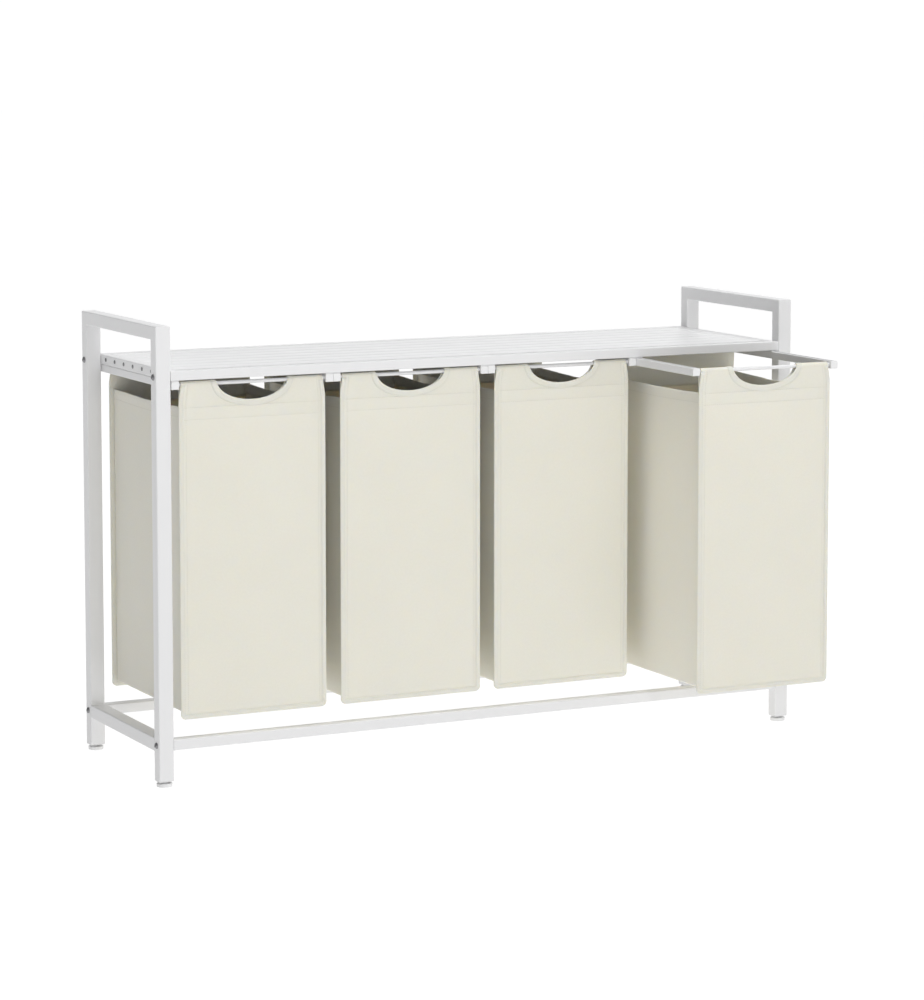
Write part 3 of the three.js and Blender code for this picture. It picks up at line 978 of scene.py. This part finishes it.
# The sides and floor are one strip; a runs round it from rim to rim, b from front to rear.
def gussetPath(plan):
    half = plan.half - bagCut["seam"]
    corner, hem = bagCut["gussetCorner"], bagCut["sideHem"]
    floor, top = plan.bottom + bagCut["seam"], bagCut["gussetTop"]
    turn = 0.75 * mm
    inner = half - 2 * turn   # the hem is folded to the inside
    pieces = [
        ("line", Vector((-inner, top - hem)), Vector((-inner, top - turn)), Vector((1, 0))),
        ("arc", Vector((-half + turn, top - turn)), turn, 0, 180),
        ("line", Vector((-half, top - turn)), Vector((-half, floor + corner)), Vector((-1, 0))),
        ("arc", Vector((-half + corner, floor + corner)), corner, 180, 270),
        ("line", Vector((-half + corner, floor)), Vector((half - corner, floor)), Vector((0, -1))),
        ("arc", Vector((half - corner, floor + corner)), corner, 270, 360),
        ("line", Vector((half, floor + corner)), Vector((half, top - turn)), Vector((1, 0))),
        ("arc", Vector((half - turn, top - turn)), turn, 0, 180),
        ("line", Vector((inner, top - turn)), Vector((inner, top - hem)), Vector((-1, 0))),
    ]
    stations, length = [], 0.0
    for part in pieces:
        if part[0] == "line":
            start, finish, out = part[1:]
            count = max(2, math.ceil((finish - start).length / (6 * mm)))
            for i in range(count + 1):
                point = start.lerp(finish, i / count)
                stations.append((length + (finish - start).length * i / count, point, out))
            length += (finish - start).length
        else:
            centre, radius, begin, stop = part[1:]
            for i in range(1, 6):
                angle = math.radians(begin + (stop - begin) * i / 6)
                out = Vector((math.cos(angle), math.sin(angle)))
                arc = radius * math.radians(abs(stop - begin)) * i / 6
                stations.append((length + arc, centre + radius * out, out))
            length += radius * math.radians(abs(stop - begin))
    return stations, length


gussetHang = {
    "wave": 2.0 * mm,
    "rimLean": 3.2 * mm,   # the loose rim leans in half way between the rods
    "rimSag": 2.8 * mm,
    "rimDip": 1.8 * mm,    # uneven part of that sag
    "floorSag": 2.4 * mm,
    "pucker": 0.55 * mm,
    "bend": 1.6 * mm,      # soft fold between flange and wall
}


def buildGusset(plan):
    stations, length = gussetPath(plan)
    seam, step = bagCut["seam"], bagCut["thick"] + 0.15 * mm
    frontY, rearY = plan.plane["front"] + step, plan.plane["rear"] - step
    depth = rearY - frontY
    bend = gussetHang["bend"]
    flange = [0.0, 2 * mm, 4 * mm, 6 * mm - bend * 0.2, seam - bend, seam - bend * 0.45,
              seam, seam + bend * 0.5, seam + bend]
    total = 2 * seam + depth
    inner = blendStops([seam + bend, seam + 5 * mm, seam + 12 * mm, total - seam - 12 * mm,
                        total - seam - 5 * mm, total - seam - bend], 7.5 * mm)
    along = flange + inner[1:-1] + [total - b for b in reversed(flange)]
    across = [(s, i) for i, (s, _, _) in enumerate(stations)]
    top, floor = bagCut["gussetTop"], plan.bottom + seam

    def place(a, b):
        _, point, out = stations[a[1]]
        fromEdge = min(b, total - b)
        y = frontY + max(0.0, b - seam) if b < total / 2 else rearY - max(0.0, total - b - seam)
        spread = max(0.0, seam - fromEdge)
        if abs(fromEdge - seam) < bend:   # soft fold between flange and wall
            soften = (bend - abs(fromEdge - seam)) ** 2 / (4 * bend)
            spread += soften
            y += soften if b < total / 2 else -soften
        outward = Vector((math.copysign(1, point.x), 0)) if point.y > floor + 20 * mm else out
        x, z = point.x + outward.x * spread, point.y + outward.y * spread
        inside = smooth(0, 30 * mm, fromEdge - seam)
        middle = math.sin(math.pi * min(max((y - frontY) / depth, 0), 1))
        seed = plan.number * 5.7 + (11 if point.x > 0 else 0)
        wall = smooth(floor, floor + 40 * mm, z)
        wave = noise.noise(Vector((y * 8 + seed, z * 3.4, seed)))
        wave += 0.5 * noise.noise(Vector((y * 19 + seed, z * 9, seed * 3)))
        sideways = gussetHang["wave"] * wave * inside * wall
        sideways -= gussetHang["rimLean"] * middle ** 2 * smooth(top - 0.17, top, z) * wall
        x += math.copysign(1, point.x) * sideways * (1 if abs(point.x) > 60 * mm else 0)
        rim = smooth(top - 0.12, top, z)
        dip = noise.noise(Vector((y * 24, seed, 0)))
        z -= rim * middle ** 1.5 * (gussetHang["rimSag"] + gussetHang["rimDip"] * dip)
        if z < floor + 20 * mm:           # the empty floor sags a little
            flat = smooth(0, 45 * mm, plan.half - seam - abs(x))
            uneven = 0.8 + 0.5 * noise.noise(Vector((x * 9, y * 9, seed)))
            z -= gussetHang["floorSag"] * middle * flat * uneven
        ripple = noise.noise(Vector((z * 90 + x * 90, seed, 4.0)))
        fade = math.exp(-max(0.0, fromEdge - seam - bend) / (7 * mm)) * inside
        x += outward.x * gussetHang["pucker"] * ripple * fade
        return Vector((plan.midX + x, y, z))

    piece = makeSheet(f"gusset_{plan.number}", across, along, place, ivoryCloth, bagCut["thick"])
    return piece, (total, length)


# Points round the panel's edge from the top left, down, across and up, with the inward direction.
def edgePath(plan):
    half, corner, low = plan.half, bagCut["corner"], plan.bottom
    top = plan.rodZ - 1.5 * mm
    path = []
    for z in blendStops([low + corner, bagCut["gussetTop"], top], 6 * mm)[::-1]:
        path.append((-half, z, 1, 0))
    for i in range(1, 9):
        turn = math.radians(180 + 90 * i / 9)
        path.append((-half + corner + corner * math.cos(turn), low + corner + corner * math.sin(turn),
                     -math.cos(turn), -math.sin(turn)))
    for x in blendStops([-half + corner, half - corner], 6 * mm):
        path.append((x, low, 0, 1))
    for i in range(1, 9):
        turn = math.radians(270 + 90 * i / 9)
        path.append((half - corner + corner * math.cos(turn), low + corner + corner * math.sin(turn),
                     -math.cos(turn), -math.sin(turn)))
    for z in blendStops([low + corner, bagCut["gussetTop"], top], 6 * mm):
        path.append((half, z, -1, 0))
    return path


# Folded tape over the raw edge of a panel and the gusset's flange behind it.
def buildEdgeTape(plan, endName):
    path = edgePath(plan)
    side = ends[endName]
    wide, thin = bagCut["seam"] - 0.9 * mm, 0.6 * mm
    outer = bagCut["thick"] / 2 + thin / 2 + 0.05 * mm
    profile = [(wide, outer - 0.2 * mm), (wide - 0.6 * mm, outer), (4 * mm, outer + 0.05 * mm),
               (1 * mm, outer), (-0.35 * mm, outer - 0.3 * mm), (-0.6 * mm, 0.0)]
    lengths = [0.0]
    for first, second in zip(path, path[1:]):
        lengths.append(lengths[-1] + math.hypot(second[0] - first[0], second[1] - first[1]))
    stack = bagCut["thick"] + 0.15 * mm
    across = [(i * 2.1 * mm, i) for i in range(2 * len(profile))]
    along = [(length, i) for i, length in enumerate(lengths)]

    def place(a, b):
        x, z, inX, inZ = path[b[1]]
        back = a[1] >= len(profile)
        index = 2 * len(profile) - 1 - a[1] if back else a[1]
        inward, lift = profile[index]
        behind = stack * (1 - smooth(bagCut["gussetTop"] - 2 * mm, bagCut["gussetTop"] + 6 * mm, z))
        point, _ = plan.panelPoint(endName, x + inX * inward, z + inZ * inward)
        wobble = 0.1 * mm * noise.noise(Vector((b[0] * 160, a[1] * 0.7, plan.number)))
        if back:
            point.y -= side * (lift + behind)
        else:
            point.y += side * (lift + wobble)
        return point

    piece = makeSheet(f"edge_tape_{endName}_{plan.number}", across, along, place, tapeCloth, thin)
    return piece


# A place on the cloth round the oval cut-out; turn 0 is its lowest point, out leads into the cloth.
def gripPoint(plan, turn, out):
    wide, deep = bagCut["grip"], bagCut["gripDepth"]
    lead = Vector((math.sin(turn) / wide, -math.cos(turn) / deep)).normalized()
    height = plan.fold["front"] - deep * math.cos(turn) + lead.y * out
    return wide * math.sin(turn) + lead.x * out, height


# Tape bound round the whole cut-out, over the fold and down the inner layer.
def buildGripTape(plan):
    count = 112
    thin = 0.55 * mm
    outer = bagCut["thick"] / 2 + thin / 2 + 0.05 * mm
    wide = bagCut["gripTape"]
    profile = [(wide, outer - 0.25 * mm), (wide - 0.5 * mm, outer), (6.5 * mm, outer + 0.05 * mm),
               (3 * mm, outer + 0.1 * mm), (0.6 * mm, outer), (-0.4 * mm, outer - 0.35 * mm),
               (-0.65 * mm, 0.0), (-0.4 * mm, 0.35 * mm - outer), (0.6 * mm, -outer), (2 * mm, -outer),
               (3.5 * mm, -outer)]
    across = [(i * 1.6 * mm, i) for i in range(len(profile))]
    along = [(3.0 * bagCut["grip"] * i / count, i) for i in range(count + 1)]

    def place(a, b):
        out, lift = profile[a[1]]
        x, h = gripPoint(plan, math.pi * (2 * b[1] / count - 1), out)
        return plan.panelPoint("front", x, h, lift)[0]

    return makeSheet(f"grip_tape_{plan.number}", across, along, place, tapeCloth, thin)


# Stitches, laid one by one along the seams.

stitch = {"length": 2.9 * mm, "gap": 0.75 * mm, "radius": 0.27 * mm, "sunk": 0.05 * mm}


def addStitch(shape, start, finish, normal):
    run = finish - start
    along = run.normalized()
    side = along.cross(normal).normalized()
    rings = []
    for share, thick, lift in ((0.0, 0.45, -0.5), (0.16, 0.95, 0.25), (0.5, 1.0, 0.45),
                               (0.84, 0.95, 0.25), (1.0, 0.45, -0.5)):
        centre = start + run * share + normal * stitch["radius"] * lift
        ring = []
        for i in range(6):
            turn = math.pi * i / 3
            ring.append(shape.verts.new(centre + stitch["radius"] * thick
                                        * (side * math.cos(turn) * 1.15 + normal * math.sin(turn))))
        rings.append(ring)
    for first, second in zip(rings, rings[1:]):
        for i in range(6):
            j = (i + 1) % 6
            shape.faces.new((first[i], first[j], second[j], second[i]))
    shape.faces.new(rings[0])
    shape.faces.new(rings[-1])


# Sews along a list of (point, normal) pairs, one stitch after another.
def sewLine(shape, line):
    spots, total = [0.0], 0.0
    for (first, _), (second, _) in zip(line, line[1:]):
        total += (second - first).length
        spots.append(total)
    count = max(1, round(total / (stitch["length"] + stitch["gap"])))
    pitch = total / count

    def spotAt(distance):
        for i in range(1, len(spots)):
            if spots[i] >= distance or i == len(spots) - 1:
                share = (distance - spots[i - 1]) / max(spots[i] - spots[i - 1], 1e-9)
                (first, firstNormal), (second, secondNormal) = line[i - 1], line[i]
                return first.lerp(second, share), firstNormal.lerp(secondNormal, share).normalized()
        return line[-1]

    for i in range(count):
        start, startNormal = spotAt(i * pitch + stitch["gap"] / 2)
        finish, _ = spotAt((i + 1) * pitch - stitch["gap"] / 2)
        addStitch(shape, start, finish, startNormal)


def sewPanel(plan, endName):
    shape = bmesh.new()
    skin = bagCut["thick"] / 2 - stitch["sunk"]
    tape = skin + 0.5 * mm
    fold = plan.fold[endName]
    inset = bagCut["seam"] - 2.2 * mm
    line = []
    for x, z, inX, inZ in edgePath(plan):
        line.append(plan.panelPoint(endName, x + inX * inset, z + inZ * inset, tape))
    sewLine(shape, line)
    reach = plan.half - bagCut["seam"] + 0.5 * mm
    for drop in (bagCut["sleeveLine"], bagCut["hemLine"]):
        stops = blendStops([-reach, reach], 3 * mm)
        sewLine(shape, [plan.panelPoint(endName, x, fold - drop, skin) for x in stops])
    edge = plan.half - bagCut["seam"] - bagCut["sideStitch"]
    for x in (-edge, edge):
        heights = blendStops([plan.bottom + bagCut["seam"] + bagCut["sideStitch"], plan.rodZ], 5 * mm)
        sewLine(shape, [plan.panelPoint(endName, x, h, skin) for h in heights])
    if endName == "front":
        line = []
        for i in range(81):
            x, h = gripPoint(plan, math.pi * (i / 80 - 0.5), bagCut["gripTape"] - 1.6 * mm)
            line.append(plan.panelPoint("front", x, h, skin + 0.6 * mm))
        sewLine(shape, line)
    return finishMesh(f"stitches_{endName}_{plan.number}", shape, ivoryThread)


# Runs a line of stitches below each side rim, lying on the gusset as built.
def sewRims(plan, gusset):
    shape = bmesh.new()
    tree = gussetTree(gusset)
    frontY, rearY = plan.plane["front"] + 4 * mm, plan.plane["rear"] - 4 * mm
    for side in (-1, 1):
        line = []
        for y in blendStops([frontY, rearY], 4 * mm):
            z = bagCut["gussetTop"] - bagCut["sideHem"] + 1.5 * mm
            start = Vector((plan.midX + side * (plan.half + 0.02), y, z))
            middle = math.sin(math.pi * min(max((y - frontY) / (rearY - frontY), 0), 1))
            start.z -= 3.4 * mm * middle ** 1.5
            spot, normal, _, _ = tree.ray_cast(start, Vector((-side, 0, 0)))
            if spot is not None:
                outward = Vector((side, 0, 0))
                line.append((spot + outward * (bagCut["thick"] / 2 - stitch["sunk"]), outward))
        if len(line) > 1:
            sewLine(shape, line)
    return finishMesh(f"rim_stitches_{plan.number}", shape, ivoryThread)


def gussetTree(gusset):
    mesh = gusset.data
    return BVHTree.FromPolygons([v.co for v in mesh.vertices], [list(f.vertices) for f in mesh.polygons])


def buildBag(number):
    body = f"bag_{number}"
    for sideName in sides:
        buildRail(number, sideName)
    rods = {endName: buildRod(number, endName) for endName in ends}
    plan = BagPlan(number)
    gusset, gussetFlat = buildGusset(plan)
    rim = sewRims(plan, gusset)
    for piece in (gusset, rim):
        settle(piece, body, "fabric")
    for endName in ends:
        panel, flat, area = buildPanel(plan, endName)
        tape = buildEdgeTape(plan, endName)
        thread = sewPanel(plan, endName)
        extras = [tape, thread]
        if endName == "front":
            extras.append(buildGripTape(plan))
            settle(panel, body, "fabric", f"laundry_bag_{number}")
        else:
            settle(panel, body, "fabric")
        for piece in extras:
            settle(piece, body, "fabric")
    print("bag", number, "sewn")


for number in range(1, 5):
    buildBag(number)

print("all pieces in place")
